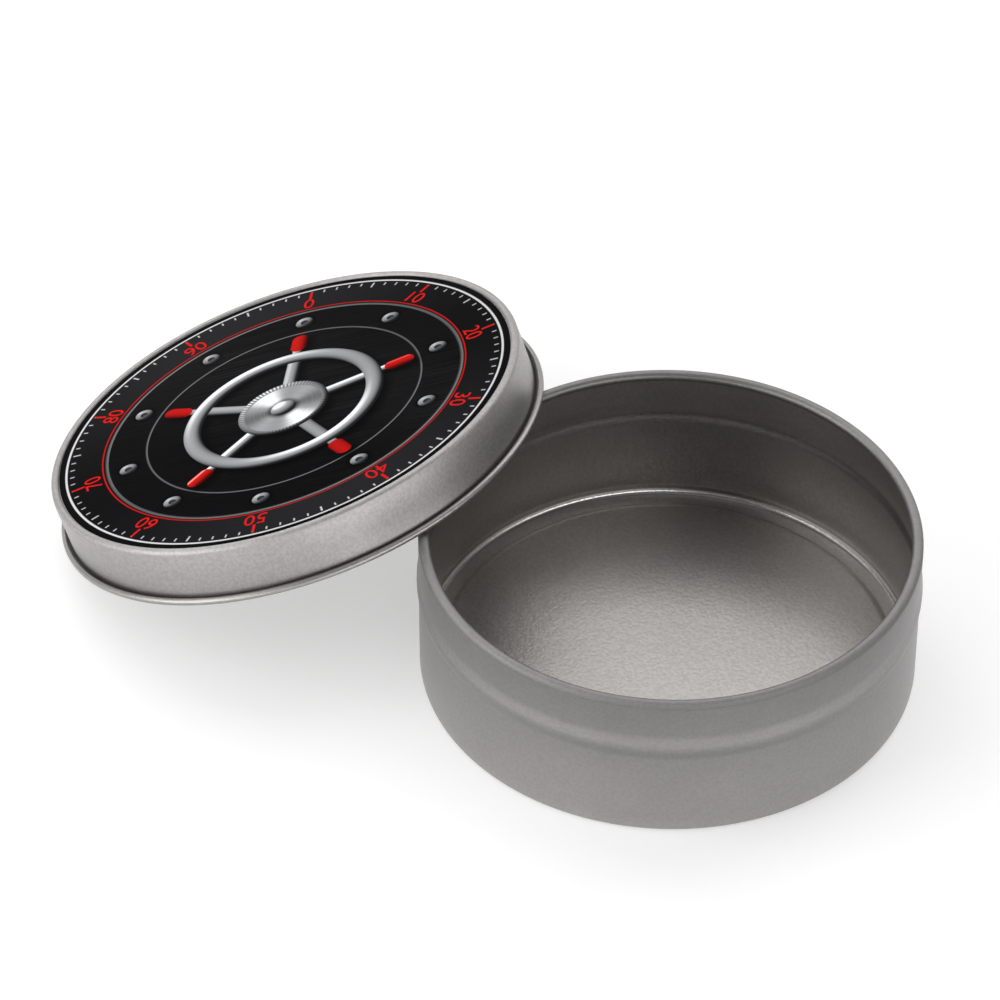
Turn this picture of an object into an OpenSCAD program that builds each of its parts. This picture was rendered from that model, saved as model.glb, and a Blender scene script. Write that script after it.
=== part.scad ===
// Round slip-lid tin drawn from tinplate: a straight cup, a cap that fits over it, and a
// printed disc glued into the cap's sunk top. The cap is off. It stands on the table with
// its lower edge and leans on the rim of the cup, on the -X side.
// Millimetres, +Z up, with the origin on the table under the middle of the cup.

/* [Sheet] */
// Thickness of the tinplate
sheet = 0.25; // [0.18:0.01:0.35]

/* [Cup] */
// Outside diameter of the straight wall
cup_d = 84; // [64:0.5:110]
// Height from the table to the top of the rim
cup_h = 28.7; // [22:0.1:42]
// Diameter of the edge that is rolled inwards at the rim
rim_roll_d = 1.8; // [1.4:0.1:2.6]
// Outside radius of the corner between wall and bottom
corner_r = 1.2; // [0.6:0.1:2.5]
// Width of the flat ring that the cup stands on
foot_w = 2.4; // [1.5:0.1:5]
// Height of the bottom panel above the standing ring
panel_rise = 0.6; // [0.3:0.1:1.5]
// Length of the bead along the wall
bead_h = 3.6; // [2.4:0.1:5]
// How far the bead stands out from the wall
bead_out = 0.4; // [0.2:0.05:0.5]
// Drop from the edge of the closed cap to the crest of the bead
bead_drop = 0.5; // [0.3:0.1:1.5]

/* [Cap] */
// Gap all round between the closed cap's skirt and the cup's wall
slip = 0.35; // [0.2:0.05:0.6]
// Depth inside, from the edge to the underside of the top panel
cap_depth = 9.5; // [7:0.1:14]
// Diameter of the edge that is rolled outwards
edge_roll_d = 1.7; // [1.3:0.1:2.4]
// Width of the ridge that runs round the top
ridge_w = 1.15; // [0.9:0.05:2]
// How far the top panel is sunk below the ridge
panel_sink = 0.6; // [0.4:0.05:1]

/* [Label] */
// Thickness of the printed disc with its glue
label_t = 0.2; // [0.1:0.05:0.3]
// Gap between the disc's edge and the ridge
label_gap = 0.15; // [0.1:0.05:0.5]

/* [Lean] */
// How far the raised edge of the cap reaches in over the cup
lean_over = 10.8; // [7:0.1:16]
// Gap between cap and rim at the two places where the cap leans
lean_gap = 0.2; // [0.1:0.05:0.4]

/* [Hidden] */
$fn = 120;

// Colours of the bare tinplate and of the print's ground
tin_cool = [0.60, 0.60, 0.61];
tin_bright = [0.70, 0.70, 0.71];
print_black = [0.07, 0.07, 0.075];

// Cup
cup_r = cup_d / 2;
rim_roll_r = rim_roll_d / 2;
rim_ring_r = cup_r - rim_roll_r;
rim_ring_z = cup_h - rim_roll_r;
foot_in_r = cup_r - corner_r - foot_w;
bead_z = cup_h - cap_depth - bead_drop;
bead_arc_r = (pow(bead_h / 2, 2) + pow(bead_out, 2)) / (2 * bead_out);

// Cap, in its own frame: +Z up through the top, z = 0 at the lower edge
skirt_in_r = cup_r + slip;
skirt_out_r = skirt_in_r + sheet;
edge_roll_r = edge_roll_d / 2;
edge_ring_r = skirt_in_r + edge_roll_r;
cap_h = cap_depth + sheet + panel_sink;
ridge_r = ridge_w / 2;
panel_r = skirt_out_r - ridge_w;

// Each rolled edge stops short of its wall by this slit, from and to degrees before the wall
roll_slit = [15, 65];
// A wedge that is longer than any roll
slit_reach = 2 * max(rim_roll_d, edge_roll_d);

// The cap leans by turning up about Y until its rolled edge lies over the rolled rim.
// The edge is followed as a circle through the middle of its roll, and so is the rim.
turn_step = 0.5;
tilt_limit = 75;
tilt_halvings = 40;
lean_apart = edge_roll_r + rim_roll_r + lean_gap;
function edge_centre(tilt) =
    [-(cup_r - lean_over + edge_ring_r * cos(tilt)), 0, edge_roll_r + edge_ring_r * sin(tilt)];
function edge_point(tilt, turn) =
    edge_centre(tilt)
    + edge_ring_r * [cos(turn) * cos(tilt), sin(turn), cos(turn) * sin(tilt)];
function rim_distance(p) = norm([norm([p.x, p.y]) - rim_ring_r, p.z - rim_ring_z]);
function signed_distance(p) = p.z < rim_ring_z ? -rim_distance(p) : rim_distance(p);
function nearest(values) = [for (v = values) if (abs(v) == min([for (w = values) abs(w)])) v][0];
function height_over_rim(tilt) =
    nearest([for (turn = [0 : turn_step : 180]) signed_distance(edge_point(tilt, turn))]);
function lean_tilt(low, high, left) =
    left == 0 ? high
    : height_over_rim((low + high) / 2) < lean_apart
    ? lean_tilt((low + high) / 2, high, left - 1)
    : lean_tilt(low, (low + high) / 2, left - 1);
tilt = lean_tilt(0, tilt_limit, tilt_halvings);

// A sheet edge rolled into an open tube. It leaves its wall at wall_angle and runs round
// by turn_way, 1 or -1, until the slit.
module rolled_edge(r, wall_angle, turn_way) {
    difference() {
        circle(r = r);
        circle(r = r - sheet);
        rotate(wall_angle)
            polygon([
                [0, 0],
                slit_reach * [cos(roll_slit[0]), -turn_way * sin(roll_slit[0])],
                slit_reach * [cos(roll_slit[1]), -turn_way * sin(roll_slit[1])]
            ]);
    }
}

// A quarter turn of sheet, hollow side towards +x and +y
module sheet_bend(r) {
    intersection() {
        difference() {
            circle(r = r);
            circle(r = r - sheet);
        }
        square(r);
    }
}

// Half section of the cup's wall, pressed out along the bead
module cup_wall() {
    difference() {
        union() {
            translate([cup_r - sheet, corner_r])
                square([sheet, rim_ring_z - corner_r]);
            intersection() {
                translate([cup_r + bead_out - bead_arc_r, bead_z])
                    circle(r = bead_arc_r);
                translate([cup_r - sheet, bead_z - bead_h / 2])
                    square([sheet + bead_out, bead_h]);
            }
        }
        translate([cup_r + bead_out - bead_arc_r, bead_z])
            circle(r = bead_arc_r - sheet);
    }
}

// Half section of the cup's bottom: standing ring, sloped step and raised panel
module cup_bottom() {
    translate([foot_in_r, 0])
        square([foot_w, sheet]);
    polygon([
        [foot_in_r, 0],
        [foot_in_r, sheet],
        [foot_in_r - panel_rise, panel_rise + sheet],
        [foot_in_r - panel_rise, panel_rise]
    ]);
    translate([0, panel_rise])
        square([foot_in_r - panel_rise, sheet]);
}

module base_cup() {
    color(tin_cool)
        rotate_extrude() {
            cup_bottom();
            translate([cup_r - corner_r, corner_r])
                mirror([0, 1])
                    sheet_bend(corner_r);
            cup_wall();
            translate([rim_ring_r, rim_ring_z])
                rolled_edge(rim_roll_r, 0, 1);
        }
}

// Puts a shape from the cap's own frame where the cap leans
module leaning() {
    translate(edge_centre(tilt))
        rotate([0, -tilt, 0])
            translate([0, 0, -edge_roll_r])
                children();
}

// Half section of the ridge and the sunk panel inside it
module cap_top() {
    translate([skirt_out_r - ridge_r, cap_h - ridge_r]) {
        sheet_bend(ridge_r);
        mirror([1, 0])
            sheet_bend(ridge_r);
    }
    translate([panel_r, cap_depth])
        square([sheet, cap_h - ridge_r - cap_depth]);
    translate([0, cap_depth])
        square([panel_r, sheet]);
}

module lid_cap() {
    color(tin_bright)
        leaning()
            rotate_extrude() {
                translate([edge_ring_r, edge_roll_r])
                    rolled_edge(edge_roll_r, 180, 1);
                translate([skirt_in_r, edge_roll_r])
                    square([sheet, cap_h - ridge_r - edge_roll_r]);
                cap_top();
            }
}

module lid_label() {
    color(print_black)
        leaning()
            translate([0, 0, cap_depth + sheet])
                cylinder(r = panel_r - label_gap, h = label_t);
}

base_cup();
lid_cap();
lid_label();
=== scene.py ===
import math

import bmesh
import bpy
from mathutils import Matrix, Vector


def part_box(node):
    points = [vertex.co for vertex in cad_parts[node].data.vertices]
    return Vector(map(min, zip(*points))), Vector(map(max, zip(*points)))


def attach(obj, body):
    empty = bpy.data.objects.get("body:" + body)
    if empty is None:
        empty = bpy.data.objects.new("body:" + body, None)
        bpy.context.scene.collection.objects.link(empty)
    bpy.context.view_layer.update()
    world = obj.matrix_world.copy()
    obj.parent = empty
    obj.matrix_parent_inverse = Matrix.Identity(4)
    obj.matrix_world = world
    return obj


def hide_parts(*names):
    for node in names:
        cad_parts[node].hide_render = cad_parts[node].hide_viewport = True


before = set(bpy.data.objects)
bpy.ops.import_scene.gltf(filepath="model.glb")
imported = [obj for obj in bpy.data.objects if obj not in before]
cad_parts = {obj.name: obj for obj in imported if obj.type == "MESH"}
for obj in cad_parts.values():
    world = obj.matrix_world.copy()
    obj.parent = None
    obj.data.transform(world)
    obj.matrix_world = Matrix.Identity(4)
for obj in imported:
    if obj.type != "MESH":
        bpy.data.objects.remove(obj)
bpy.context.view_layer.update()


# The cup. One blank of tinplate is drawn to a straight wall, its edge is rolled inwards to a rim, a bead is
# pressed out of the wall below it, and the bottom is stamped up inside the ring that the cup stands on.
mm = 0.001
_, cup_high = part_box("base_cup")
solid_bead_out = 0.4 * mm
sheet = 0.25 * mm
cup_r = cup_high.y - solid_bead_out
cup_h = cup_high.z
rim_out_r = 1.0 * mm
rim_in_r = 0.93 * mm
rim_slit = (300, 450)
bead_out = 0.34 * mm
bead_z = 18.5 * mm
bead_up = 3.0 * mm
bead_down = 2.1 * mm
wall_middle_z = 9 * mm
corner_r = 1.2 * mm
foot_in_r = 38.9 * mm
step_w = 1.5 * mm
step_rise = 0.55 * mm
panel_r = 30 * mm
panel_middle_r = 15 * mm
panel_rise = 0.6 * mm
roll_points = 36
turn_steps = 192
near = 0.01 * mm
seam_gap = 0.002 * mm
smooth_limit = math.radians(40)


def open_blank(name):
    """Names the primitive that was just added, keeps its place in its mesh, and opens it in edit mode."""
    piece = bpy.context.object
    piece.name = name
    piece.data.name = name
    bpy.ops.object.transform_apply(location=True, rotation=True, scale=True)
    bpy.ops.object.mode_set(mode="EDIT")
    return piece


def select_vertices(piece, chosen):
    """Selects the vertices in edit mode whose place passes a test."""
    mesh = bmesh.from_edit_mesh(piece.data)
    bpy.ops.mesh.select_all(action="DESELECT")
    for vertex in mesh.verts:
        vertex.select = chosen(vertex.co)
    mesh.select_flush(True)
    bmesh.update_edit_mesh(piece.data)


def rolled_edge(name, roll_r, ring_r, ring_z, slit):
    """Starts a half section with its rolled edge: a circle that is open in the slit between two angles."""
    bpy.ops.object.select_all(action="DESELECT")
    bpy.ops.mesh.primitive_circle_add(
        vertices=roll_points, radius=roll_r, location=(ring_r, 0, ring_z), rotation=(math.pi / 2, 0, 0))
    piece = open_blank(name)
    slit_start, slit_end = slit
    slack = 0.1

    def in_slit(place):
        turn = math.degrees(math.atan2(place.z - ring_z, place.x - ring_r))
        return slack < (turn - slit_start) % 360 < slit_end - slit_start - slack
    select_vertices(piece, in_slit)
    bpy.ops.mesh.delete(type="VERT")
    return piece


def follow(piece, start, points):
    """Extrudes the half section from its vertex at start through each point, given as radius and height."""
    place = Vector((start[0], 0, start[1]))
    select_vertices(piece, lambda at: (at - place).length < near)
    for radius, height in points:
        goal = Vector((radius, 0, height))
        bpy.ops.mesh.extrude_region_move(TRANSFORM_OT_translate={"value": goal - place})
        place = goal


def turn_round(inside_out=False):
    """Spins the half section in edit mode about the axis into a shell, and closes its seam and its middle."""
    bpy.ops.mesh.select_all(action="SELECT")
    bpy.ops.mesh.spin(steps=turn_steps, angle=2 * math.pi, center=(0, 0, 0), axis=(0, 0, 1))
    bpy.ops.mesh.select_all(action="SELECT")
    bpy.ops.mesh.remove_doubles(threshold=seam_gap)
    bpy.ops.mesh.normals_make_consistent(inside=inside_out)
    bpy.ops.object.mode_set(mode="OBJECT")


def give_thickness(piece):
    """Gives the shell the sheet's thickness inwards. The inner face takes the piece's second material."""
    wall = piece.modifiers.new("sheet", "SOLIDIFY")
    wall.thickness = sheet
    wall.offset = -1
    wall.use_even_offset = True
    wall.material_offset = 1
    wall.material_offset_rim = 1
    bpy.ops.object.modifier_apply(modifier=wall.name)
    bpy.ops.object.shade_smooth_by_angle(angle=smooth_limit)


def arc(middle, wide, tall, first, last, count):
    """Points along part of an oval, from first to last in degrees, without the first one."""
    turns = [math.radians(first + (last - first) * i / count) for i in range(1, count + 1)]
    return [(middle[0] + wide * math.cos(t), middle[1] + tall * math.sin(t)) for t in turns]


def swell(share):
    """A smooth rise from 0 to 1 as share goes from 0 to 1."""
    return (1 - math.cos(math.pi * share)) / 2


rim_top_r = cup_r - rim_out_r
step_in_r = foot_in_r - step_w
shares = [i / 10 for i in range(11)]
bead_top = [(cup_r + bead_out * swell(share), bead_z + bead_up * (1 - share)) for share in shares]
bead_foot = [(cup_r + bead_out * swell(1 - share), bead_z - bead_down * share) for share in shares[1:]]
step = [(foot_in_r - step_w * share, step_rise * swell(share)) for share in shares]
dome = [
    (step_in_r + (panel_r - step_in_r) * share, step_rise + (panel_rise - step_rise) * share * (2 - share))
    for share in shares[1:]]
cup = rolled_edge("tin_cup", rim_in_r, rim_top_r, cup_h - rim_in_r, rim_slit)
follow(
    cup, (rim_top_r, cup_h),
    arc((rim_top_r, cup_h - rim_out_r), rim_out_r, rim_out_r, first=90, last=0, count=14)
    + bead_top + bead_foot + [(cup_r, wall_middle_z), (cup_r, corner_r)]
    + arc((cup_r - corner_r, corner_r), corner_r, corner_r, first=0, last=-90, count=12)
    + step + dome + [(panel_middle_r, panel_rise), (0, panel_rise)])
turn_round()


class Wire:
    """A value in a material's nodes. Python's operators on wires add the Math nodes that work them out."""

    def __init__(self, tree, socket=None):
        self.tree = tree
        self.socket = socket

    def node(self, kind, settings=None, inputs=None, output=0):
        """Adds a node, sets it up, feeds its sockets with values or wires, and gives one output as a wire."""
        made = self.tree.nodes.new("ShaderNode" + kind)
        for name, value in (settings or {}).items():
            setattr(made, name, value)
        for name, value in (inputs or {}).items():
            if isinstance(value, Wire):
                self.tree.links.new(value.socket, made.inputs[name])
            else:
                made.inputs[name].default_value = value
        return Wire(self.tree, made.outputs[output] if made.outputs else None)

    def math(self, operation, *values):
        return self.node("Math", {"operation": operation}, dict(enumerate(values)))

    def __add__(self, other):
        return self.math("ADD", self, other)

    def __radd__(self, other):
        return self.math("ADD", other, self)

    def __sub__(self, other):
        return self.math("SUBTRACT", self, other)

    def __rsub__(self, other):
        return self.math("SUBTRACT", other, self)

    def __mul__(self, other):
        return self.math("MULTIPLY", self, other)

    def __rmul__(self, other):
        return self.math("MULTIPLY", other, self)

    def __truediv__(self, other):
        return self.math("DIVIDE", self, other)

    def __pow__(self, other):
        return self.math("POWER", self, other)

    def __abs__(self):
        return self.math("ABSOLUTE", self)


def new_material(name):
    """An empty material, and a wire that nodes can be added from."""
    material = bpy.data.materials.new(name)
    material.use_nodes = True
    material.node_tree.nodes.clear()
    return material, Wire(material.node_tree)


def place_on(start, stand, turn):
    """The place on a piece in millimetres, counted from where the piece stands and turned as it is."""
    return start.node("Mapping", {"vector_type": "TEXTURE"}, {
        "Vector": start.node("TexCoord", output="Object"),
        "Location": stand, "Rotation": turn, "Scale": (mm, mm, mm)})


def along_axis(place, axis):
    return place.node("SeparateXYZ", {}, {"Vector": place}, output=axis)


def mix_colours(share, first, second, clamp=True):
    """The first colour where share is 0, the second where it is 1, and a blend between."""
    return share.node(
        "Mix", {"data_type": "RGBA", "clamp_factor": clamp}, {0: share, 6: first, 7: second}, output=2)


def rise(value, low, high):
    """A soft step from 0 at low to 1 at high, or down from 1 to 0 if low is the larger."""
    return value.node(
        "MapRange", {"interpolation_type": "SMOOTHSTEP"},
        {"Value": value, "From Min": low, "From Max": high})


black = (0, 0, 0, 1)
grain_per_mm = 1.8
cloud_per_mm = 0.09


def tinplate(name, tone, grain_tone, grain_depth, shade, finish, stand=(0, 0, 0), turn=(0, 0, 0)):
    """Satin tinplate with a fine pebbled grain and cloudy tin. The functions shade and finish give a factor
    on its tone, which paints light and shade on it, and its roughness, from the height over stand and the
    distance from the axis, in mm."""
    material, start = new_material(name)
    place = place_on(start, stand, turn)
    grain = start.node("TexNoise", {}, {
        "Vector": place, "Scale": grain_per_mm, "Detail": 0.7, "Roughness": 0.55})
    cloud = start.node("TexNoise", {}, {
        "Vector": place, "Scale": cloud_per_mm, "Detail": 3, "Roughness": 0.6})
    aside, back, height = [along_axis(place, axis) for axis in "XYZ"]
    radius = (aside * aside + back * back) ** 0.5
    speckle = 2 * rise(grain, 0.28, 0.72) - 1
    # The tone carries the painted light and shade, the grain and the cloud.
    level = shade(height, radius) * (1 + grain_tone * speckle) * (0.93 + 0.14 * cloud)
    bump = start.node("Bump", {}, {"Strength": 1.0, "Distance": grain_depth * mm, "Height": grain})
    surface = start.node("BsdfPrincipled", {}, {
        "Base Color": mix_colours(level, black, (*tone, 1), clamp=False), "Metallic": 1.0, "Normal": bump,
        "Roughness": finish(height, radius) - 0.03 + 0.06 * cloud})
    start.node("OutputMaterial", {}, {"Surface": surface})
    return material


def outside_painted_shading(height, radius):
    """Painted light and shade on the tone: paler towards the foot and darker towards the neck, a painted
    highlight on the bead's shoulder and on the rim, painted shade below the bead, and a paler band above the
    foot with a thin painted shadow at the edge that it stands on."""
    # Painted highlight on the bead's shoulder.
    shoulder = rise(height, 18.6, 19.6) * rise(height, 22.0, 20.8)
    # Painted shade below the bead.
    below = rise(height, 16.2, 17.2) * rise(height, 18.8, 18.0)
    # Painted highlight on the top and outer side of the rim.
    rim = rise(height, 28.1, 28.5) * rise(radius, 40.5, 41.0)
    # Painted light in a band above the foot, and a thin painted shadow at the edge it stands on.
    low = 0.07 * rise(height, 3.5, 1.2) - 0.7 * rise(height, 0.5, 0.15)
    # Painted light and shade: paler towards the foot, darker towards the neck.
    return 1.36 - 0.0205 * height + 0.13 * shoulder - 0.06 * below + 0.26 * rim + low


def outside_finish(height, radius):
    """Satin, and rougher on the rim, most of all on its outer side."""
    rim = rise(height, 27.3, 27.7)
    outer_side = rise(radius, 40.5, 41.0)
    return 0.40 + rim * (0.1 + 0.16 * outer_side)


def inside_painted_shading(height, radius):
    """Painted light and shade on the tone: paler on the lower wall and darker on the upper wall, painted
    highlights in two thin bands low in the corner, and painted shade in the groove behind the bead, at the
    bottom of the corner and in the crease round the panel."""
    # Painted light and shade on the wall: paler low down, darker high up.
    wall = rise(radius, 41.2, 41.5) * (0.3 * rise(height, 17.0, 5.0) - 0.1)
    # Painted highlight in a thin band low in the corner.
    line = rise(radius, 41.48, 41.6) * rise(height, 1.3, 1.1)
    # Painted highlight in a faint band a little higher up.
    faint_line = rise(height, 1.8, 2.05) * rise(height, 2.45, 2.2)
    # Painted shade in the groove behind the bead.
    groove = rise(height, 16.2, 17.3) * rise(height, 18.9, 18.1)
    # Painted shade at the bottom of the corner.
    corner_shade = rise(radius, 40.9, 41.15) * rise(radius, 41.52, 41.42) * rise(height, 1.2, 1.0)
    # Painted shade in the crease round the panel.
    crease = rise(radius, 37.8, 38.3) * rise(radius, 39.1, 38.7) * rise(height, 1.2, 1.0)
    return 1.03 + wall + 1.8 * line + 0.3 * faint_line - 0.4 * corner_shade - 0.27 * groove - 0.25 * crease


def inside_finish(height, radius):
    """Satin, and smoother in the corner."""
    return 0.39 - 0.1 * rise(radius, 41.2, 41.4) * rise(height, 2.6, 1.6)


# The outside and the inside take different tones of one tinplate: painted shade outside and painted light
# inside, standing in for the light that each side gets.
cup.data.materials.append(tinplate(
    "tinplate outside", tone=(0.247, 0.237, 0.236), grain_tone=0.04, grain_depth=0.052,
    shade=outside_painted_shading, finish=outside_finish))
cup.data.materials.append(tinplate(
    "tinplate inside", tone=(0.333, 0.319, 0.307), grain_tone=0.06, grain_depth=0.033,
    shade=inside_painted_shading, finish=inside_finish))
give_thickness(cup)
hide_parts("base_cup")
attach(cup, "cup")


# The cap. It is drawn from the same tinplate, a sliding fit over the cup, with a sunk top inside a raised
# ridge and an edge that is rolled outwards. It is off, and leans on the rim of the cup.
slip = 0.35 * mm
cap_depth = 9.5 * mm
edge_out = 1.45 * mm
edge_roll_r = 0.62 * mm
edge_lift = 0.07 * mm
edge_slit = (105, 265)
flare_h = 0.9 * mm
skirt_middle_z = 5 * mm
ridge_out_r = 0.85 * mm
ridge_in_r = 0.55 * mm
panel_sink = 0.6 * mm
cap_panel_middle_r = 20 * mm
skirt_r = cup_r + slip + sheet
panel_top = cap_depth + sheet
cap_h = panel_top + panel_sink
edge_ring_r = skirt_r + edge_out - edge_roll_r
edge_ring_z = edge_roll_r + edge_lift
ridge_r = skirt_r - ridge_out_r

cap = rolled_edge("tin_lid", edge_roll_r - sheet, edge_ring_r, edge_ring_z, edge_slit)
flare_w = edge_ring_r - skirt_r
flare_rise = flare_h - edge_lift - sheet
follow(
    cap, (edge_ring_r, edge_lift + sheet),
    arc((edge_ring_r, flare_h), flare_w, flare_rise, first=270, last=180, count=8)
    + [(skirt_r, skirt_middle_z), (skirt_r, cap_h - ridge_out_r)]
    + arc((ridge_r, cap_h - ridge_out_r), ridge_out_r, ridge_out_r, first=0, last=90, count=9)
    + arc((ridge_r, cap_h - ridge_in_r), ridge_in_r, ridge_in_r, first=90, last=180, count=7)
    + [(ridge_r - ridge_in_r, panel_top), (cap_panel_middle_r, panel_top), (0, panel_top)])
turn_round(inside_out=True)

label_t = 0.2 * mm
label_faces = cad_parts["lid_label"].data.polygons
upper_faces = [face for face in label_faces if face.normal.z > 0.5]
lid_axis = max(upper_faces, key=lambda face: face.area).normal.copy()
label_low, label_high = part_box("lid_label")
label_middle = (label_low + label_high) / 2
lean = Matrix.Rotation(math.atan2(lid_axis.x, lid_axis.z), 4, "Y")
cap_foot = label_middle - lid_axis * (panel_top + label_t / 2)


def lean_on_cup(piece, spin=0.0):
    """Puts a piece that was made upright round the Z axis where the cap leans, and keeps that in its mesh."""
    piece.matrix_world = Matrix.Translation(cap_foot) @ lean @ Matrix.Rotation(spin, 4, "Z")
    bpy.ops.object.select_all(action="DESELECT")
    piece.select_set(True)
    bpy.context.view_layer.objects.active = piece
    bpy.ops.object.transform_apply(location=True, rotation=True, scale=True)


def cap_painted_shading(height, radius):
    """Painted light: paler towards the top."""
    return 0.86 + 0.2 * rise(height, 0, 10)


def cap_finish(height, radius):
    """Satin, and rougher on the ridge."""
    return 0.43 + 0.15 * rise(height, 9.2, 9.8)


def even(value):
    """The same shade or finish all over."""
    return lambda height, radius: value


# The cap's tones are paler than the cup's outside: painted light, standing in for the light the cap gets.
cap.data.materials.append(tinplate(
    "tinplate lid", tone=(0.346, 0.333, 0.328), grain_tone=0.07, grain_depth=0.012,
    shade=cap_painted_shading, finish=cap_finish, stand=cap_foot, turn=lean.to_euler()))
cap.data.materials.append(tinplate(
    "tinplate lid inside", tone=(0.315, 0.303, 0.291), grain_tone=0.036, grain_depth=0.05,
    shade=even(1), finish=even(0.42), stand=cap_foot, turn=lean.to_euler()))
give_thickness(cap)
lean_on_cup(cap)
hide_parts("lid_cap")
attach(cap, "lid")


# The label. A disc of satin film, printed as a round vault door with a scale round its edge and a spoked
# handwheel in the middle. It is glued into the cap's sunk top, and its edge is cut with a soft arris.
label_inset = 0.25 * mm
label_r = (label_high.y - label_low.y) / 2 - label_inset
label_arris = 0.06 * mm
ink_t = 0.02 * mm
print_turn = math.radians(24.6)
number_count = 10
number_r = 34.9 * mm
number_size = 4.3 * mm

bpy.ops.object.select_all(action="DESELECT")
bpy.ops.mesh.primitive_cylinder_add(
    vertices=turn_steps, radius=label_r, depth=label_t, location=(0, 0, panel_top + label_t / 2))
label = open_blank("printed_label")
select_vertices(label, lambda at: at.z > panel_top + label_t / 2)
bpy.ops.mesh.bevel(offset=label_arris, segments=3, affect="EDGES")
bpy.ops.object.mode_set(mode="OBJECT")
bpy.ops.object.shade_smooth_by_angle(angle=smooth_limit)


def lowest(first, second):
    return first.math("MINIMUM", first, second)


def highest(first, second):
    return first.math("MAXIMUM", first, second)


class Print:
    """Places on the print, in millimetres and radians. Angles run clockwise from the top, as on a dial."""

    def __init__(self, across, up):
        self.across = across
        self.up = up
        self.radius = (across * across + up * up) ** 0.5
        self.angle = across.math("ARCTAN2", across, up)

    def along(self, count):
        """The lengths along and across the nearest of count rays, and the angle at which that ray stands."""
        apart = 2 * math.pi / count
        ray = self.angle.math("ROUND", self.angle / apart) * apart
        off = self.angle - ray
        return self.radius * off.math("COSINE", off), self.radius * off.math("SINE", off), ray

    def ring(self, low, high):
        """The distance outside a ring between two radii, below 0 on it."""
        return abs(self.radius - (low + high) / 2) - (high - low) / 2


def inked(distance, soft=0.07):
    """1 where a distance is below 0, and 0 above it, with a soft edge."""
    return rise(distance, soft, -soft)


# Inks of the print, and the way to the light that it is painted with
ground_black = (0.004, 0.004, 0.0045, 1)
shadow_black = (0.001, 0.001, 0.001, 1)
tick_grey = (0.5, 0.5, 0.51, 1)
line_white = (0.62, 0.62, 0.63, 1)
line_red = (0.5, 0.01, 0.008, 1)
bright_red = (0.62, 0.012, 0.01, 1)
painted_light = Vector((-0.5, 0.58, 0.64)).normalized()


def on_round(slope, toward):
    """Painted light on a round form. The slope runs from -1 to 1 across it, and grows toward an angle."""
    level = highest(1 - slope * slope, 0) ** 0.5
    from_side = painted_light.x * toward.math("SINE", toward)
    from_above = painted_light.y * toward.math("COSINE", toward)
    return highest(slope * (from_side + from_above) + painted_light.z * level, 0)


def steel(light):
    """Printed steel, from its shaded side to the glint."""
    shaded = (0.012, 0.012, 0.013, 1)
    lit = (0.36, 0.365, 0.375, 1)
    glint = (0.92, 0.93, 0.94, 1)
    body = mix_colours(rise(light, 0.0, 0.9), shaded, lit)
    return mix_colours(rise(light, 0.7, 1.0), body, glint)


def red_enamel(light):
    """Printed enamel, from its shaded side to the glint."""
    shaded = (0.07, 0.001, 0.001, 1)
    glint = (0.95, 0.35, 0.3, 1)
    body = mix_colours(light, shaded, bright_red)
    return mix_colours(rise(light, 0.93, 1.0), body, glint)


# Sizes on the print, in millimetres. Each set of ticks has its count, its inner radius and half its width.
white_ring = (39.5, 39.9)
red_ring = (32.9, 33.15)
scale_ring = (32.9, 39.3)
fine_ticks = (100, 38.2, 0.14)
middle_ticks = (20, 37.6, 0.16)
number_ticks = (number_count, 36.7, 0.24)
tick_end = 39.0
door_r = 32.3
door_groove_half = 0.35
inner_groove_r = 25.0
inner_groove_half = 0.22
bolt_count = 10
bolt_ring = 28.6
bolt_r = 1.6
wheel_rim = (15.0, 18.2)
spoke_count = 5
spoke_half = 1.25
spoke_sink = 0.6
grip_run = (20.2, 22.7)
grip_half = 1.45
collar_half = 0.9
collar_sink = 1.0
hub_r = 8.2
hub_edge_r = 7.0
hub_arris = 0.2
hub_cap_r = 2.3
knurl_count = 72
turning_lines = 7.0
full_round = 0.97
shadow_right = 1.0
shadow_down = 1.3


def grip_edge(forward, aside):
    """The distance outside a grip with round ends, below 0 on it."""
    past = forward - lowest(highest(forward, grip_run[0]), grip_run[1])
    return (past * past + aside * aside) ** 0.5 - grip_half


def wheel_edge(at):
    """The distance outside the whole handwheel, below 0 on it."""
    forward, aside, _ = at.along(spoke_count)
    spokes = highest(abs(aside) - spoke_half, forward - grip_run[0])
    arms = lowest(spokes, grip_edge(forward, aside))
    return lowest(lowest(at.ring(*wheel_rim), at.radius - hub_r), arms)


def door_face(at):
    """Black steel, brushed one way, with a broad sheen across it."""
    brushed_way = at.up.node("CombineXYZ", {}, {"X": at.across * 0.045, "Y": at.up * 4.5})
    streaks = at.up.node("TexNoise", {}, {
        "Vector": brushed_way, "Scale": 1.0, "Detail": 4, "Roughness": 0.6})
    sheen = rise(abs(at.across * 0.5 + at.up * 0.87 - 8), 24, 0)
    level = rise(streaks, 0.3, 0.75) * (0.3 + 0.7 * sheen)
    dark = (0.002, 0.002, 0.0024, 1)
    bright = (0.0145, 0.0145, 0.0155, 1)
    return mix_colours(level, dark, bright)


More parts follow.
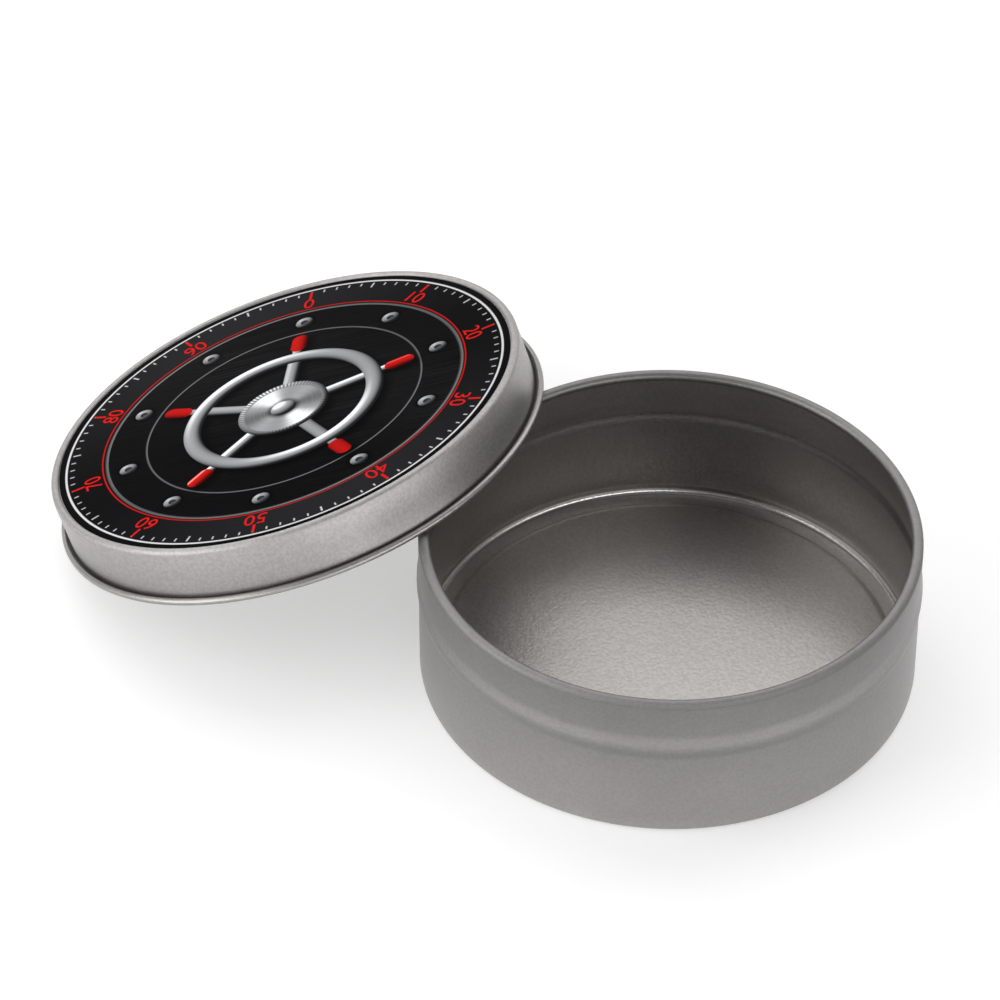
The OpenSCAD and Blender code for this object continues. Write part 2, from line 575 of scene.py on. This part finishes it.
def add_scale(at, below):
    """The charcoal scale ring with its ticks, between two thin lines."""
    sheen = (1 + at.angle.math("COSINE", at.angle * 2 + 0.9)) / 2
    dark = (0.0045, 0.0045, 0.005, 1)
    bright = (0.017, 0.017, 0.0185, 1)
    below = mix_colours(inked(at.ring(*scale_ring)), below, mix_colours(sheen, dark, bright))
    for ticks in (fine_ticks, middle_ticks, number_ticks):
        count, inner, half = ticks
        _, aside, _ = at.along(count)
        tick = highest(abs(aside) - half, at.ring(inner, tick_end))
        tick_ink = bright_red if ticks is number_ticks else tick_grey
        below = mix_colours(inked(tick), below, tick_ink)
    below = mix_colours(inked(at.ring(*red_ring)), below, line_red)
    return mix_colours(inked(at.ring(*white_ring)), below, line_white)


def add_groove(at, below, radius, half):
    """A turned groove: dark, with its lower wall catching the light."""
    light = on_round((at.radius - radius) / half * -0.9, at.angle)
    return mix_colours(inked(at.ring(radius - half, radius + half)), below, steel(light * 0.55 - 0.05))


def add_bolts(at, below):
    """A ring of domed bolt heads, each with a drop shadow and a socket."""
    forward, aside, ray = at.along(bolt_count)
    out = forward - bolt_ring
    reach = (out * out + aside * aside) ** 0.5
    toward = ray + out.math("ARCTAN2", aside, out)
    below = mix_colours(rise(reach, bolt_r * 1.7, bolt_r * 0.8) * 0.8, below, black)
    head = on_round(reach / bolt_r * 0.85, toward)
    below = mix_colours(inked(reach - bolt_r), below, steel(head * 0.8))
    socket = on_round(reach / bolt_r * -1.6, toward)
    return mix_colours(inked(reach - bolt_r * 0.45), below, steel(socket * 0.25))


def add_arms(at, below):
    """The handwheel's collars, red grips and round steel spokes."""
    forward, aside, ray = at.along(spoke_count)
    side = ray + math.pi / 2
    collar = highest(abs(aside) - collar_half, at.ring(wheel_rim[1] - collar_sink, grip_run[0]))
    below = mix_colours(inked(collar), below, steel(on_round(aside / collar_half * full_round, side)))
    grip = grip_edge(forward, aside)
    below = mix_colours(inked(grip), below, red_enamel(on_round(aside / grip_half * full_round, side)))
    spoke = highest(abs(aside) - spoke_half, at.radius - wheel_rim[0] - spoke_sink)
    return mix_colours(inked(spoke), below, steel(on_round(aside / spoke_half * full_round, side)))


def add_wheel(at, below):
    """The handwheel's round steel rim, and its turned hub with a knurled edge and a domed cap."""
    middle = (wheel_rim[0] + wheel_rim[1]) / 2
    half = (wheel_rim[1] - wheel_rim[0]) / 2
    rim = steel(on_round((at.radius - middle) / half * full_round, at.angle))
    below = mix_colours(inked(at.ring(*wheel_rim)), below, rim)
    knurl = 0.75 + 0.25 * at.angle.math("COSINE", at.angle * knurl_count)
    edge = steel(on_round(rise(at.radius, hub_edge_r - hub_arris, hub_r) * 0.9, at.angle) * knurl)
    below = mix_colours(inked(at.radius - hub_r), below, edge)
    turned = at.radius.node("TexNoise", {"noise_dimensions": "1D"}, {
        "W": at.radius * turning_lines, "Scale": 1.0, "Detail": 2})
    glint = abs(at.angle.math("COSINE", at.angle + 0.7)) ** 3
    faint_glint = abs(at.angle.math("SINE", at.angle + 0.95)) ** 8 * 0.6
    face = steel(0.25 + (glint + faint_glint) * 0.72 + (turned - 0.5) * 0.35)
    below = mix_colours(inked(at.radius - hub_edge_r), below, face)
    below = mix_colours(rise(at.radius, hub_cap_r * 1.5, hub_cap_r) * 0.7, below, (0.01, 0.01, 0.01, 1))
    dome_light = on_round(at.radius / hub_cap_r * 0.95, at.angle)
    return mix_colours(inked(at.radius - hub_cap_r), below, steel(dome_light))


def satin_ink(start, colour):
    """Ends a material as a satin print that hardly shines."""
    surface = start.node("BsdfPrincipled", {}, {
        "Base Color": colour, "Roughness": 0.45, "Specular IOR Level": 0.005})
    start.node("OutputMaterial", {}, {"Surface": surface})


film, start = new_material("label print")
place = place_on(start, label_middle, (lean @ Matrix.Rotation(print_turn, 4, "Z")).to_euler())
across = along_axis(place, "X")
up = along_axis(place, "Y")
spot = Print(across, up)
ink = mix_colours(inked(spot.radius - door_r), ground_black, door_face(spot))
ink = add_scale(spot, ink)
ink = add_groove(spot, ink, door_r, door_groove_half)
ink = add_groove(spot, ink, inner_groove_r, inner_groove_half)
ink = add_bolts(spot, ink)
wheel_shadow = wheel_edge(Print(across - shadow_right, up + shadow_down))
ink = mix_colours(rise(wheel_shadow, 1.6, -1.2) * 0.85, ink, shadow_black)
ink = add_arms(spot, ink)
ink = add_wheel(spot, ink)
satin_ink(start, ink)
label.data.materials.append(film)

number_ink, start = new_material("number ink")
cover = start.node("TexNoise", {}, {
    "Vector": start.node("TexCoord", output="Object"), "Scale": 2500, "Detail": 2})
thin_red = (0.5, 0.008, 0.007, 1)
full_red = (0.74, 0.016, 0.013, 1)
satin_ink(start, mix_colours(cover, thin_red, full_red))

numbers = []
for tens in range(number_count):
    bpy.ops.object.text_add()
    number = bpy.context.object
    number.data.body = str(10 * tens)
    number.data.align_x = "CENTER"
    number.data.align_y = "CENTER"
    number.data.size = number_size
    number.data.extrude = ink_t / 2
    number.data.resolution_u = 4
    bpy.ops.object.convert(target="MESH")
    number = bpy.context.object
    number.data.materials.append(number_ink)
    stand = Matrix.Translation((0, number_r, panel_top + label_t + ink_t / 2))
    number.matrix_world = Matrix.Rotation(-2 * math.pi * tens / number_count, 4, "Z") @ stand
    bpy.ops.object.transform_apply(location=True, rotation=True, scale=True)
    numbers.append(number)
bpy.ops.object.select_all(action="DESELECT")
for number in numbers:
    number.select_set(True)
label.select_set(True)
bpy.context.view_layer.objects.active = label
bpy.ops.object.join()
lean_on_cup(label, print_turn)
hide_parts("lid_label")
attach(label, "lid")


# The stage: a white sweep of paper, flat under the tin and rising behind it. It shows white to the camera and
# in the metal, and keeps the tin's soft shadow.
view_turn = math.radians(26.124)
sweep_size = 6
sweep_pull = 1.2
sweep_rise = 3
paper_tone = (0.65, 0.65, 0.65, 1)
paper_glow = (0.42, 0.42, 0.42, 1)
bpy.ops.object.select_all(action="DESELECT")
bpy.ops.mesh.primitive_plane_add(size=sweep_size)
sweep = open_blank("sweep")
select_vertices(sweep, lambda at: at.y > 0)
bpy.ops.transform.translate(value=(0, -sweep_pull, 0))
bpy.ops.mesh.extrude_region_move(TRANSFORM_OT_translate={"value": (0, 0, sweep_rise)})
bpy.ops.object.mode_set(mode="OBJECT")
sweep.rotation_euler.z = view_turn
paper, start = new_material("white paper")
seen = start.node("LightPath", output="Is Camera Ray")
seen = highest(seen, start.node("LightPath", output="Is Glossy Ray"))
seen = highest(seen, start.node("LightPath", output="Is Transmission Ray"))
lit = start.node("BsdfDiffuse", {}, {"Color": paper_tone})
glow = start.node("Emission", {}, {"Color": paper_glow, "Strength": seen})
start.node("OutputMaterial", {}, {"Surface": start.node("AddShader", {}, {0: lit, 1: glow})})
sweep.data.materials.append(paper)


# Light: soft boxes behind, above, at both ends and on both sides of the camera, in a dim room. Each box has
# its way round from behind the tin towards the right, its height in degrees, its size and its watts.
soft_boxes = {
    "back box": (5, 62, 1.2, 0.9, 5.9),
    "back right box": (40, 34, 0.8, 0.6, 3.0),
    "back left box": (322, 36, 0.8, 0.6, 3.4),
    "left box": (285, 44, 0.8, 0.6, 1.9),
    "side left box": (258, 27, 1.0, 0.8, 7.0),
    "front left box": (230, 9, 1.5, 0.55, 11.2),
    "front right box": (144, 15, 1.7, 0.75, 12.0),
    "right box": (100, 36, 0.8, 0.6, 0.9),
    "top box": (192, 75, 1.3, 1.0, 2.2),
}
box_distance = 1.3
room_tone = (0.04, 0.04, 0.04, 1)


def round_the_tin(distance, way, height):
    """A place at a distance from the cup's foot, by its way round from behind and its height in degrees."""
    turn = view_turn - math.radians(way)
    lift = math.radians(height)
    level = math.cos(lift)
    return distance * Vector((-level * math.sin(turn), level * math.cos(turn), math.sin(lift)))


for name, (way, height, width, depth, watts) in soft_boxes.items():
    box_data = bpy.data.lights.new(name, "AREA")
    box_data.shape = "RECTANGLE"
    box_data.size = width
    box_data.size_y = depth
    box_data.energy = watts
    box = bpy.data.objects.new(name, box_data)
    bpy.context.scene.collection.objects.link(box)
    box.location = round_the_tin(box_distance, way, height)
    box.rotation_euler = (-box.location).to_track_quat("-Z", "Y").to_euler()

room = bpy.data.worlds.new("room")
room.use_nodes = True
room.node_tree.nodes["Background"].inputs["Color"].default_value = room_tone
bpy.context.scene.world = room


# The camera stands well back in front of the tin, and looks down on it through a long lens, a little to the
# left of the cup.
camera_distance = 863.7 * mm
camera_height = 43.297
camera_dip = math.radians(41.567)
camera_swing = math.radians(2.586)
front = 180
camera_data = bpy.data.cameras.new("camera")
camera_data.lens = 182.9
camera_data.sensor_width = 36
camera = bpy.data.objects.new("camera", camera_data)
bpy.context.scene.collection.objects.link(camera)
camera.location = round_the_tin(camera_distance, front, camera_height)
camera.rotation_euler = (math.pi / 2 - camera_dip, 0, view_turn + camera_swing)
bpy.context.scene.camera = camera
bpy.context.scene.view_settings.view_transform = "Standard"
